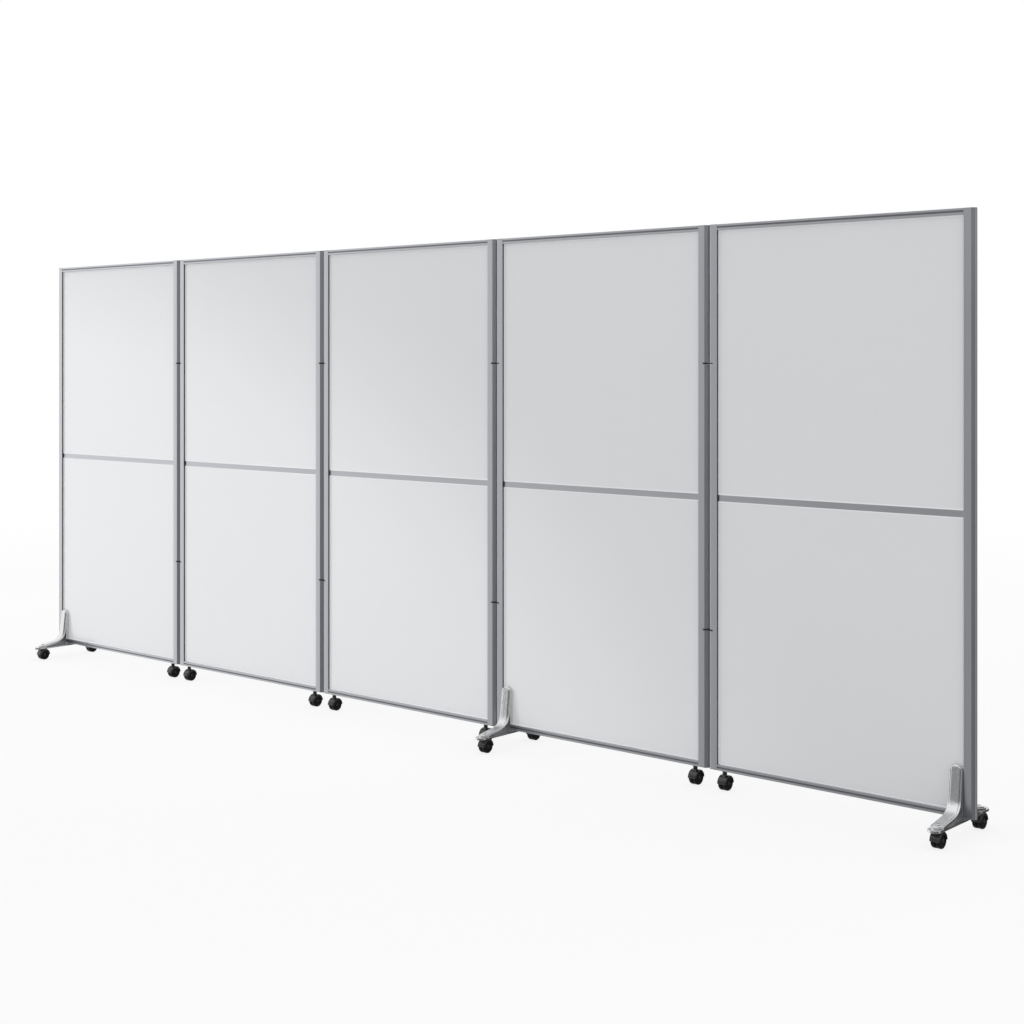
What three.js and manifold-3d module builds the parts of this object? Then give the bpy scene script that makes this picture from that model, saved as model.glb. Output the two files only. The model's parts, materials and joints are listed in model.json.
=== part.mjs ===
// A rolling partition: five framed writing boards in a row, joined edge to edge by two-pivot
// hinges and carried on twin-wheel casters, with three cast feet that keep it upright.
// Millimetres, +Z up. The origin is on the floor under the middle of the row, +X runs along the
// row to the right as seen from the front, and the front faces -Y.
import * as THREE from 'three';
import { mergeVertices } from 'three/addons/utils/BufferGeometryUtils.js';
import Module from 'manifold-3d';

const wasm = await Module();
wasm.setup();

// Row of panels
const PANEL_COUNT = 5;
const PANEL_WIDTH = 923; // over both stiles
const PANEL_GAP = 3; // between neighbouring stiles
const FRAME_HEIGHT = 1765;
const FRAME_DEPTH = 28; // front to back
const FRAME_LIFT = 64; // floor to the underside of the frames
const CLEARANCE = 0.3; // between pieces that sit against each other
const OVERCUT = 1; // how far a cutting shape reaches past what it cuts

// Frame profiles
const STILE_WIDTH = 35; // inner face to the tip of the rounded nose
const STILE_FACE = 26; // width of the flat front and back faces
const NOSE_RADIUS = 13.2; // about the pivot axis, a step below the flat faces
const CHAMBER_WALL = 2.3; // around the hollow between the pivot's bore and the board's slot
const RAIL_HEIGHT = 19;
const RAIL_GROOVE_HEIGHT = 5.4; // shadow groove along the rail's front and back
const RAIL_GROOVE_DEPTH = 3;
const BOARD_THICKNESS = 12;
const BOARD_SEAT = 5; // depth of the slot that holds the board's edge
const BAND_HEIGHT = 20; // flat rail across the board
const BAND_DROP = 3; // its middle below the middle of the board
const BAND_LIP = 1.3; // how far that rail stands out from the board

// Hinges: two links on two long rods, one rod in each neighbouring stile
const LINK_END_DISTANCE = 449.5; // end of the frame to the middle of a link
const LINK_THICKNESS = 5;
const LINK_WAIST = 9; // width of the neck between the link's two round ends
const LINK_PLAY = 0.5; // around and beside a link's round end
const ROD_RADIUS = 4;
const ROD_PLAY = 0.45;
const ROD_OVERRUN = 16; // rod beyond the outer face of a link

// Casters: twin wheels on one axle, through the web of a hood
const WHEEL_RADIUS = 23.5;
const WHEEL_SIDES = 14;
const WHEEL_WIDTH = 10.3;
const TREAD_CHAMFER = 3;
const WEB_THICKNESS = 7.4;
const WHEEL_SIDE_PLAY = 0.5;
const HOOD_PLAY = 1.4; // wheel tread to the inside of the hood
const HOOD_WALL = 1.5;
const HOOD_SKIRT = 7; // depth of the hood's side wall
const HOOD_LIP = 1.2; // how far the two lower edges of the hood stand out
const HOOD_LIP_SLOPE = 3.6; // height over which that ledge dies into the hood
const AXLE_RADIUS = 3;
const AXLE_PLAY = 0.4;
const AXLE_BOSS_RADIUS = 7;
const CASTER_TRAIL = 4; // stem to axle
const NECK_RADIUS = 7.5;
const STEM_RADIUS = 5;
const STEM_PLAY = 0.45;
const STEM_LENGTH = 11.5; // in the rail or in the foot

// Cast feet
const FOOT_WIDTH = 41;
const FOOT_SIDE_GAP = 0.5; // between the foot and the stile beside it
const FOOT_REACH = 172; // middle of the panel to the tip of the foot
const FOOT_STEM_REACH = 132; // middle of the panel to the caster's stem
const FOOT_RISE = 154; // underside of the frame to the top of the foot
const FOOT_TOP_REACH = 19.5; // middle of the panel to the foot's face, at the top
const FOOT_BEND_REACH = 34.5; // the same, where the upright turns into the leg
const FOOT_BEND_RISE = 20; // underside of the frame to that turn
const FOOT_BEND_LENGTH = 38; // how far the curve of the turn runs each way
const FOOT_END_HEIGHT = 17.5; // foot's underside to its crest, over the caster
const FOOT_PAD_HEIGHT = 8; // thickness of the foot's flat tip
const CREST_WIDTH = 30;
const CREST_RISE = 3; // crest above the rims beside it
const CREST_CHAMFER = 2.6;
const FOOT_WALL = 5.5; // around the hollows in the foot's sides
const FOOT_WEB = 12; // left between two hollows
const FOOT_COLLAR = 0.4; // washer between the caster's hood and the foot

// Which panel ends carry a foot; every other end beside a hinge has a single caster
const FEET = [
  { name: 'left_foot', panel: 1, side: -1 },
  { name: 'middle_foot', panel: 4, side: -1 },
  { name: 'right_foot', panel: 5, side: 1 },
];

// Sizes that follow
const HALF_DEPTH = FRAME_DEPTH / 2;
const STILE_INNER = STILE_WIDTH - NOSE_RADIUS; // pivot axis to the stile's inner face
const FACE_REACH = STILE_FACE - STILE_INNER; // pivot axis to the outer end of the flat faces
const PIVOT_SPACING = 2 * NOSE_RADIUS + PANEL_GAP;
const PANEL_PITCH = PANEL_WIDTH + PANEL_GAP;
const FRAME_TOP = FRAME_LIFT + FRAME_HEIGHT;
const PIVOT_REACH = PANEL_WIDTH / 2 - NOSE_RADIUS; // panel's middle to its pivot axes
const CLEAR_WIDTH = PANEL_WIDTH - 2 * STILE_WIDTH; // between the stiles
const SLOT_HALF = BOARD_THICKNESS / 2 + CLEARANCE;
const LINK_HEIGHTS = [FRAME_LIFT + LINK_END_DISTANCE, FRAME_TOP - LINK_END_DISTANCE];
const LINK_RADIUS = NOSE_RADIUS - CLEARANCE;
const HOOD_INNER = WHEEL_RADIUS + HOOD_PLAY;
const HOOD_RADIUS = HOOD_INNER + HOOD_WALL;
const HOOD_TOP = WHEEL_RADIUS + HOOD_RADIUS;
const WHEEL_INNER_FACE = WEB_THICKNESS / 2 + WHEEL_SIDE_PLAY;
const WHEEL_OUTER_FACE = WHEEL_INNER_FACE + WHEEL_WIDTH;
const HOOD_HALF_WIDTH = WHEEL_OUTER_FACE + WHEEL_SIDE_PLAY + HOOD_WALL;
const FOOT_SOLE = HOOD_TOP + FOOT_COLLAR + CLEARANCE;
const FOOT_TOP = FRAME_LIFT + FOOT_RISE;
const STEM_BORE_RADIUS = STEM_RADIUS + STEM_PLAY;
// panel's edge to the middle of a foot, and to the stems of all casters at that end
const STEM_INSET = STILE_WIDTH + FOOT_SIDE_GAP + FOOT_WIDTH / 2;

// Finishes
const SATIN_ALUMINIUM = { color: 0xb9babd, roughness: 0.38, metalness: 0.9 };
const POLISHED_ALUMINIUM = { color: 0xd4d5d8, roughness: 0.16, metalness: 1.0 };
const WHITE_BOARD = { color: 0xe9eaec, roughness: 0.18, metalness: 0.0 };
const DARK_STEEL = { color: 0x3a3a3d, roughness: 0.45, metalness: 0.8 };
const BLACK_NYLON = { color: 0x141415, roughness: 0.34, metalness: 0.0 };
const BLACK_TREAD = { color: 0x1b1b1c, roughness: 0.6, metalness: 0.0 };

// ---- Solids ----

// a closed geometry as a solid that can be joined and cut
function toSolid(geometry) {
  const bare = geometry.clone();
  bare.deleteAttribute('normal');
  bare.deleteAttribute('uv');
  const merged = mergeVertices(bare, 1e-4);
  const vertProperties = new Float32Array(merged.attributes.position.array);
  const triVerts = new Uint32Array(merged.index.array);
  return new wasm.Manifold(new wasm.Mesh({ numProp: 3, vertProperties, triVerts }));
}

function toGeometry(solid) {
  const { vertProperties, triVerts } = solid.getMesh();
  const geometry = new THREE.BufferGeometry();
  geometry.setAttribute('position', new THREE.BufferAttribute(vertProperties, 3));
  geometry.setIndex(new THREE.BufferAttribute(triVerts, 1));
  geometry.computeVertexNormals();
  return geometry;
}

const join = (...geometries) => toGeometry(geometries.map(toSolid).reduce((a, b) => a.add(b)));
const common = (...geometries) =>
  toGeometry(geometries.map(toSolid).reduce((a, b) => a.intersect(b)));
const cut = (body, ...tools) =>
  toGeometry(tools.map(toSolid).reduce((a, b) => a.subtract(b), toSolid(body)));

// a shape drawn in X and Y, from one height to another; an arc gets twice the segments
function prismZ(shape, low, high, segments = 4) {
  const options = { depth: high - low, bevelEnabled: false, curveSegments: segments };
  return new THREE.ExtrudeGeometry(shape, options).translate(0, 0, low);
}

// a shape drawn in Y and Z, turned to run along X
function prismX(shape, low, high, segments = 4, bevel = 0) {
  const geometry = new THREE.ExtrudeGeometry(shape, {
    depth: high - low - 2 * bevel,
    curveSegments: segments,
    bevelEnabled: bevel > 0,
    bevelThickness: bevel,
    bevelSize: bevel,
    bevelOffset: -bevel,
    bevelSegments: 1,
  });
  const turn = new THREE.Matrix4().makeBasis(
    new THREE.Vector3(0, 1, 0),
    new THREE.Vector3(0, 0, 1),
    new THREE.Vector3(1, 0, 0),
  );
  return geometry.applyMatrix4(turn).translate(low + bevel, 0, 0);
}

// a shape drawn in X and Z, running the same distance to the front and to the back
function prismY(shape, reach, segments = 4) {
  const options = { depth: 2 * reach, bevelEnabled: false, curveSegments: segments };
  return new THREE.ExtrudeGeometry(shape, options).rotateX(Math.PI / 2).translate(0, reach, 0);
}

function polygon(points) {
  return new THREE.Shape(points.map(([x, y]) => new THREE.Vector2(x, y)));
}

function rectangle(left, right, low, high) {
  return polygon([[left, low], [right, low], [right, high], [left, high]]);
}

function block(width, depth, height) {
  return new THREE.BoxGeometry(width, depth, height);
}

// an upright round bar between two heights
function roundBar(radius, low, high, sides = 12) {
  const bar = new THREE.CylinderGeometry(radius, radius, high - low, sides);
  return bar.rotateX(Math.PI / 2).translate(0, 0, (low + high) / 2);
}

function piece(name, geometry, finish) {
  const mesh = new THREE.Mesh(geometry, new THREE.MeshStandardMaterial(finish));
  mesh.name = name;
  return mesh;
}

// ---- Frames and boards ----

// section of a stile, its pivot axis at the origin and its inner face towards +X: flat faces that
// end in a small step, a nose around the pivot's bore, the board's slot and a hollow chamber
function stileSection() {
  const seat = STILE_INNER - BOARD_SEAT;
  const boreRadius = ROD_RADIUS + ROD_PLAY;
  const turn = Math.acos(FACE_REACH / NOSE_RADIUS);
  const shape = new THREE.Shape();
  shape.moveTo(STILE_INNER, HALF_DEPTH);
  shape.lineTo(-FACE_REACH, HALF_DEPTH);
  shape.absarc(0, 0, NOSE_RADIUS, Math.PI - turn, Math.PI + turn, false);
  shape.lineTo(-FACE_REACH, -HALF_DEPTH);
  shape.lineTo(STILE_INNER, -HALF_DEPTH);
  shape.lineTo(STILE_INNER, -SLOT_HALF);
  shape.lineTo(seat, -SLOT_HALF);
  shape.lineTo(seat, SLOT_HALF);
  shape.lineTo(STILE_INNER, SLOT_HALF);
  const bore = new THREE.Path();
  bore.absarc(0, 0, boreRadius, 0, 2 * Math.PI, true);
  const side = HALF_DEPTH - CHAMBER_WALL;
  const chamber = rectangle(boreRadius + CHAMBER_WALL, seat - CHAMBER_WALL, -side, side);
  shape.holes.push(bore, chamber);
  return shape;
}

// the notch that lets a link swing a quarter turn either way about the stile's axis
function linkNotch(height) {
  const radius = LINK_RADIUS + LINK_PLAY;
  const relief = LINK_WAIST / 2 + LINK_PLAY;
  const clear = HALF_DEPTH + OVERCUT;
  const start = Math.acos(relief / radius);
  const shape = new THREE.Shape();
  shape.moveTo(-clear, -clear);
  shape.lineTo(relief, -clear);
  shape.absarc(0, 0, radius, -start, start, false);
  shape.lineTo(relief, clear);
  shape.lineTo(-clear, clear);
  const half = LINK_THICKNESS / 2 + CLEARANCE;
  return prismZ(shape, height - half, height + half, 3);
}

function stile(name, side, hinged) {
  const blank = prismZ(stileSection(), FRAME_LIFT, FRAME_TOP, 4);
  const body = hinged ? cut(blank, ...LINK_HEIGHTS.map(linkNotch)) : blank;
  const mesh = piece(name, body, SATIN_ALUMINIUM);
  mesh.position.x = side * PIVOT_REACH;
  mesh.rotation.z = side > 0 ? Math.PI : 0;
  return mesh;
}

// section of a rail: its outer edge at height 0, the slot for the board in its inner edge
function railSection() {
  const grooveLow = (RAIL_HEIGHT - RAIL_GROOVE_HEIGHT) / 2;
  const grooveHigh = grooveLow + RAIL_GROOVE_HEIGHT;
  const floor = HALF_DEPTH - RAIL_GROOVE_DEPTH;
  const half = [
    [HALF_DEPTH, 0],
    [HALF_DEPTH, grooveLow],
    [floor, grooveLow],
    [floor, grooveHigh],
    [HALF_DEPTH, grooveHigh],
    [HALF_DEPTH, RAIL_HEIGHT],
    [SLOT_HALF, RAIL_HEIGHT],
    [SLOT_HALF, RAIL_HEIGHT - BOARD_SEAT],
  ];
  const mirrored = half.map(([y, z]) => [-y, z]).reverse();
  return polygon([...half, ...mirrored]);
}

function railBlank() {
  const reach = CLEAR_WIDTH / 2 - CLEARANCE;
  return prismX(railSection(), -reach, reach);
}

function topRail(name) {
  const mesh = piece(name, railBlank().rotateX(Math.PI), SATIN_ALUMINIUM);
  mesh.position.z = FRAME_TOP;
  return mesh;
}

// the bottom rail is bored from below for each caster that it carries
function bottomRail(name, stemPlaces) {
  const bores = stemPlaces.map((x) =>
    roundBar(STEM_BORE_RADIUS, -OVERCUT, STEM_LENGTH + CLEARANCE).translate(x, 0, 0));
  const body = bores.length ? cut(railBlank(), ...bores) : railBlank();
  const mesh = piece(name, body, SATIN_ALUMINIUM);
  mesh.position.z = FRAME_LIFT;
  return mesh;
}

// the board, its edges in the slots of the frame, with the flat rail across its middle
function board(name) {
  const seated = 2 * (BOARD_SEAT - CLEARANCE);
  const height = FRAME_HEIGHT - 2 * RAIL_HEIGHT + seated;
  const sheet = block(CLEAR_WIDTH + seated, BOARD_THICKNESS, height);
  const bandDepth = BOARD_THICKNESS + 2 * BAND_LIP;
  const band = block(CLEAR_WIDTH - 2 * CLEARANCE, bandDepth, BAND_HEIGHT).translate(0, 0, -BAND_DROP);
  const mesh = piece(name, join(sheet, band), WHITE_BOARD);
  mesh.position.z = FRAME_LIFT + FRAME_HEIGHT / 2;
  return mesh;
}

// ---- Hinges ----

// a link from above: two round ends joined by a narrow neck
function linkShape() {
  const turn = Math.asin(LINK_WAIST / 2 / LINK_RADIUS);
  const shape = new THREE.Shape();
  shape.absarc(PIVOT_SPACING / 2, 0, LINK_RADIUS, turn - Math.PI, Math.PI - turn, false);
  shape.absarc(-PIVOT_SPACING / 2, 0, LINK_RADIUS, turn, 2 * Math.PI - turn, false);
  return shape;
}

function hinge(name) {
  const half = LINK_THICKNESS / 2;
  const links = LINK_HEIGHTS.map((z) => prismZ(linkShape(), z - half, z + half, 5));
  const low = LINK_HEIGHTS[0] - half - ROD_OVERRUN;
  const high = LINK_HEIGHTS[1] + half + ROD_OVERRUN;
  const rods = [-1, 1].map((side) =>
    roundBar(ROD_RADIUS, low, high, 8).translate(side * PIVOT_SPACING / 2, 0, 0));
  return piece(name, join(...links, ...rods), DARK_STEEL);
}

// ---- Casters: drawn about the stem, the axle level with the origin's height ----

// the upper half of a disc around the axle, seen along X
function halfDisc(radius) {
  const shape = new THREE.Shape();
  shape.moveTo(CASTER_TRAIL + radius, 0);
  shape.absarc(CASTER_TRAIL, 0, radius, 0, Math.PI, false);
  return shape;
}

// the small ledge along the hood's front or back lower edge
function hoodLip(side) {
  const inner = CASTER_TRAIL + side * (HOOD_INNER + HOOD_WALL / 2);
  const outer = CASTER_TRAIL + side * (HOOD_RADIUS + HOOD_LIP);
  const points = [[inner, 0], [outer, 0], [outer, HOOD_LIP], [inner, HOOD_LIP_SLOPE]];
  const shape = polygon(side > 0 ? points : points.reverse());
  return prismX(shape, -HOOD_HALF_WIDTH, HOOD_HALF_WIDTH);
}

function casterHousing(name, seatHeight) {
  const full = prismX(halfDisc(HOOD_RADIUS), -HOOD_HALF_WIDTH, HOOD_HALF_WIDTH, 4);
  const skirt = HOOD_HALF_WIDTH - HOOD_WALL;
  const web = WEB_THICKNESS / 2;
  const outside = HOOD_HALF_WIDTH + OVERCUT;
  const within = skirt - OVERCUT;
  const hollows = [[-skirt, -web], [web, skirt]].map(([a, b]) =>
    prismX(halfDisc(HOOD_INNER), a, b, 4).translate(0, 0, -CLEARANCE));
  const windows = [[-outside, -within], [within, outside]].map(([a, b]) =>
    prismX(halfDisc(HOOD_INNER - HOOD_SKIRT), a, b, 3).translate(0, 0, -CLEARANCE));
  const boss = new THREE.CylinderGeometry(AXLE_BOSS_RADIUS, AXLE_BOSS_RADIUS, 2 * web, 8)
    .rotateZ(Math.PI / 2).translate(0, CASTER_TRAIL, 0);
  const boreRadius = AXLE_RADIUS + AXLE_PLAY;
  const boreLength = WEB_THICKNESS + 2 * OVERCUT;
  const axleBore = new THREE.CylinderGeometry(boreRadius, boreRadius, boreLength, 8)
    .rotateZ(Math.PI / 2).translate(0, CASTER_TRAIL, 0);
  const neckTop = seatHeight - CLEARANCE - WHEEL_RADIUS;
  const neck = roundBar(NECK_RADIUS, HOOD_INNER, neckTop, 10);
  const stem = roundBar(STEM_RADIUS, HOOD_INNER, neckTop + STEM_LENGTH, 8);
  const shell = cut(full, ...hollows, ...windows);
  const body = cut(join(shell, boss, hoodLip(-1), hoodLip(1), neck, stem), axleBore);
  return piece(name, body, BLACK_NYLON);
}

// both wheels and their axle, turned as one profile; a flat of the tread stands on the floor
function wheelPair(name) {
  const tread = WHEEL_RADIUS / Math.cos(Math.PI / WHEEL_SIDES);
  const half = [
    [AXLE_RADIUS, WHEEL_INNER_FACE],
    [tread, WHEEL_INNER_FACE],
    [tread, WHEEL_OUTER_FACE - TREAD_CHAMFER],
    [tread - TREAD_CHAMFER, WHEEL_OUTER_FACE],
    [0, WHEEL_OUTER_FACE],
  ];
  const mirrored = half.map(([r, x]) => [r, -x]).reverse();
  const profile = [...mirrored, ...half].map(([r, x]) => new THREE.Vector2(r, x));
  const geometry = new THREE.LatheGeometry(profile, WHEEL_SIDES, Math.PI / WHEEL_SIDES);
  return piece(name, geometry.rotateZ(Math.PI / 2), BLACK_TREAD);
}

function caster(name, seatHeight) {
  const group = new THREE.Group();
  const wheels = wheelPair(`${name}_wheels`);
  wheels.position.y = CASTER_TRAIL;
  group.add(casterHousing(`${name}_housing`, seatHeight), wheels);
  group.position.z = WHEEL_RADIUS;
  return group;
}

// ---- Cast feet: drawn about the middle of the panel, standing across it ----

// the foot from the side, taken in by a distance; reach is where the leg's top ends
function footOutline(inset, reach) {
  const top = FOOT_TOP - inset;
  const topReach = FOOT_TOP_REACH - inset;
  const bend = new THREE.Vector2(FOOT_BEND_REACH - inset, FRAME_LIFT + FOOT_BEND_RISE - inset);
  const drop = (bend.y + inset - FOOT_SOLE - FOOT_END_HEIGHT) / (FOOT_STEM_REACH - FOOT_BEND_REACH);
  const endHeight = bend.y - drop * (reach - bend.x);
  const lean = (bend.x - topReach) / (top - bend.y);
  const curveTop = [bend.x - lean * FOOT_BEND_LENGTH, bend.y + FOOT_BEND_LENGTH];
  const curveEnd = [bend.x + FOOT_BEND_LENGTH, bend.y - drop * FOOT_BEND_LENGTH];
  const shape = new THREE.Shape();
  shape.moveTo(-reach, FOOT_SOLE);
  shape.lineTo(reach, FOOT_SOLE);
  shape.lineTo(reach, endHeight);
  shape.lineTo(...curveEnd);
  shape.quadraticCurveTo(bend.x, bend.y, ...curveTop);
  shape.lineTo(topReach, top);
  shape.lineTo(-topReach, top);
  shape.lineTo(-curveTop[0], curveTop[1]);
  shape.quadraticCurveTo(-bend.x, bend.y, -curveEnd[0], curveEnd[1]);
  shape.lineTo(-reach, endHeight);
  return shape;
}

// a bar with two round ends, from above
function roundEnded(halfWidth, centreReach) {
  const shape = new THREE.Shape();
  shape.absarc(0, centreReach, halfWidth, 0, Math.PI, false);
  shape.absarc(0, -centreReach, halfWidth, Math.PI, 2 * Math.PI, false);
  return shape;
}

// the front view of an upright with a round top
function roundTopped(halfWidth, top) {
  const shape = new THREE.Shape();
  shape.moveTo(-halfWidth, 0);
  shape.lineTo(halfWidth, 0);
  shape.absarc(0, top - halfWidth, halfWidth, 0, Math.PI, false);
  return shape;
}

function footRib(inset, width, bevel) {
  const half = width / 2;
  const side = prismX(footOutline(inset, FOOT_STEM_REACH + half), -half, half, 4, bevel);
  const plan = prismZ(roundEnded(half, FOOT_STEM_REACH), 0, FOOT_TOP + OVERCUT, 3);
  return common(side, plan, prismY(roundTopped(half, FOOT_TOP - inset), FOOT_REACH, 3));
}

// the room that the bottom rail and the board take up between the foot's two uprights
function panelSlot() {
  const rail = HALF_DEPTH + CLEARANCE;
  const low = FRAME_LIFT - CLEARANCE;
  const step = FRAME_LIFT + RAIL_HEIGHT + CLEARANCE;
  const high = FOOT_TOP + OVERCUT;
  const half = [[rail, low], [rail, step], [SLOT_HALF, step], [SLOT_HALF, high]];
  const mirrored = half.map(([y, z]) => [-y, z]).reverse();
  return prismX(polygon([...half, ...mirrored]), -FOOT_WIDTH, FOOT_WIDTH);
}

// the hollow in one side of one leg, a wall's thickness inside the foot's outline
function footHollow(side, direction) {
  const inset = CREST_RISE + FOOT_WALL;
  const near = HALF_DEPTH + CLEARANCE + FOOT_WALL;
  const far = FOOT_STEM_REACH - STEM_BORE_RADIUS - FOOT_WALL;
  const window = polygon([
    [direction * near, FOOT_SOLE + FOOT_WALL],
    [direction * far, FOOT_SOLE + FOOT_WALL],
    [direction * far, FOOT_TOP],
    [direction * near, FOOT_TOP],
  ]);
  const low = side > 0 ? FOOT_WEB / 2 : -FOOT_WIDTH;
  const high = side > 0 ? FOOT_WIDTH : -FOOT_WEB / 2;
  return common(
    prismX(footOutline(inset, FOOT_STEM_REACH), low, high, 4),
    prismX(window, low, high),
  );
}

function foot(name) {
  const pad = prismZ(
    roundEnded(FOOT_WIDTH / 2, FOOT_REACH - FOOT_WIDTH / 2),
    FOOT_SOLE,
    FOOT_SOLE + FOOT_PAD_HEIGHT,
    3,
  );
  const whole = join(
    footRib(0, CREST_WIDTH, CREST_CHAMFER),
    footRib(CREST_RISE, FOOT_WIDTH, 0),
    pad,
  );
  const hollows = [-1, 1].flatMap((side) => [-1, 1].map((way) => footHollow(side, way)));
  const bores = [-1, 1].map((way) =>
    roundBar(STEM_BORE_RADIUS, FOOT_SOLE - OVERCUT, FOOT_SOLE + STEM_LENGTH + CLEARANCE)
      .translate(0, way * FOOT_STEM_REACH, 0));
  return piece(name, cut(whole, panelSlot(), ...hollows, ...bores), POLISHED_ALUMINIUM);
}

// ---- Assembly ----

function panel(number) {
  const group = new THREE.Group();
  const name = `panel_${number}`;
  const footAt = (side) => FEET.find((f) => f.panel === number && f.side === side);
  const ends = [
    { side: -1, word: 'left', hinged: number > 1 },
    { side: 1, word: 'right', hinged: number < PANEL_COUNT },
  ];
  const stemX = (side) => side * (PANEL_WIDTH / 2 - STEM_INSET);
  const single = ends.filter(({ side, hinged }) => hinged && !footAt(side));
  for (const { side, word, hinged } of ends) {
    group.add(stile(`${name}_${word}_stile`, side, hinged));
  }
  group.add(topRail(`${name}_top_rail`));
  group.add(bottomRail(`${name}_bottom_rail`, single.map(({ side }) => stemX(side))));
  group.add(board(`${name}_board`));
  for (const { side, word } of single) {
    const one = caster(`${name}_${word}_caster`, FRAME_LIFT);
    one.position.x = stemX(side);
    group.add(one);
  }
  for (const { side } of ends.filter((end) => footAt(end.side))) {
    const base = footAt(side).name;
    const casting = foot(base);
    casting.position.x = stemX(side);
    group.add(casting);
    for (const [word, way] of [['front', -1], ['rear', 1]]) {
      const one = caster(`${base}_${word}_caster`, FOOT_SOLE);
      one.position.x = stemX(side);
      one.position.y = way * FOOT_STEM_REACH;
      group.add(one);
    }
  }
  group.position.x = (number - (PANEL_COUNT + 1) / 2) * PANEL_PITCH;
  return group;
}

function partition() {
  const group = new THREE.Group();
  for (let number = 1; number <= PANEL_COUNT; number += 1) {
    group.add(panel(number));
  }
  for (let number = 1; number < PANEL_COUNT; number += 1) {
    const pair = hinge(`hinge_${number}_${number + 1}`);
    pair.position.x = (number - PANEL_COUNT / 2) * PANEL_PITCH;
    group.add(pair);
  }
  return group;
}

export default partition();
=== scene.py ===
# %% [markdown]
# # A folding divider of white boards
# Five framed writing boards stand in a straight row. Each frame is made of four aluminium
# extrusions, neighbours are joined by two small links, and the row rolls on black twin-wheel
# casters, some of them under three polished cast feet. The CAD model is the fixed frame: every
# piece below takes its place from a CAD node's box, and rides on that node's body.

import json

import bmesh
import bpy
import numpy as np
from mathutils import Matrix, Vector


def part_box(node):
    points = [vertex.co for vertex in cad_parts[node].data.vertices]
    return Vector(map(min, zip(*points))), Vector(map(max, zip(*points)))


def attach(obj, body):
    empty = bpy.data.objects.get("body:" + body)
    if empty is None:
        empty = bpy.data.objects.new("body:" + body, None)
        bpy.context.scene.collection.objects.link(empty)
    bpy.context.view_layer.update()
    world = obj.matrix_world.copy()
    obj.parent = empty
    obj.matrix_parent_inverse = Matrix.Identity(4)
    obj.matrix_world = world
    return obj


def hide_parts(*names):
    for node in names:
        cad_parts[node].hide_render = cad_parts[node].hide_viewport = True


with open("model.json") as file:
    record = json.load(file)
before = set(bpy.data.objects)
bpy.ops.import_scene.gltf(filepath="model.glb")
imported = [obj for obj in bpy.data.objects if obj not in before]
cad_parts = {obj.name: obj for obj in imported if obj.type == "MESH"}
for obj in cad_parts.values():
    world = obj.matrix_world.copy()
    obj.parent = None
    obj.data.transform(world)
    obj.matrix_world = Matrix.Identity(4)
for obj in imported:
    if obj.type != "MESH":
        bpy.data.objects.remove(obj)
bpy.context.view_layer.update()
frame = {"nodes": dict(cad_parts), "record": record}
MM = 0.001
PANELS = range(1, 6)

# %% [markdown]
# The camera comes first. The five panels are equal, so their edges in the photograph fix a level
# camera: where it stands, how far it is turned and its focal length. Its horizon lies above the
# middle of the picture, and a small vertical shift of the lens does that without tilting.

# %% Camera at the photograph's viewpoint
TURN = 41.1993  # degrees from the boards' normal
FOCAL_PIXELS = 1637.73
HORIZON_ROW = 363.0
PICTURE = 1024  # pixels along a side
VIEWPOINT = (4.41381, -4.43328, 1.38049)  # metres

lens = bpy.data.cameras.new("camera")
lens.sensor_width = 36.0
lens.lens = FOCAL_PIXELS * lens.sensor_width / PICTURE
lens.shift_y = (HORIZON_ROW - PICTURE / 2) / PICTURE
lens.clip_start, lens.clip_end = 0.05, 200.0
camera = bpy.data.objects.new("camera", lens)
camera.location = VIEWPOINT
camera.rotation_euler = (np.pi / 2, 0.0, np.radians(TURN))
bpy.context.scene.collection.objects.link(camera)
bpy.context.scene.camera = camera
bpy.context.scene.view_settings.view_transform = "Standard"
print(f"camera: lens {lens.lens:.2f} mm, shift {lens.shift_y:.4f}")

# %% [markdown]
# ## Shader sums as plain sums
# A finish is easier to read as arithmetic than as a web of nodes. `Wire` wraps one output socket,
# and its operators add the Math node that works them out, so `wave + marks * 0.08` is a real line
# of shader. `Finish.add` makes every other kind of node.


# %% A socket that can be added and multiplied
class Wire:
    """One output of a node. + - * and / with a number or another wire add a Math node."""

    def __init__(self, finish, socket):
        self.finish, self.socket = finish, socket

    def sum(self, operation, first, second):
        return self.finish.add("ShaderNodeMath", {"operation": operation}, {0: first, 1: second})

    def __add__(self, other):
        return self.sum("ADD", self, other)

    __radd__ = __add__

    def __mul__(self, other):
        return self.sum("MULTIPLY", self, other)

    __rmul__ = __mul__

    def __sub__(self, other):
        return self.sum("SUBTRACT", self, other)

    def __rsub__(self, other):
        return self.sum("SUBTRACT", other, self)

    def __truediv__(self, other):
        return self.sum("DIVIDE", self, other)

    def __rtruediv__(self, other):
        return self.sum("DIVIDE", other, self)


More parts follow.
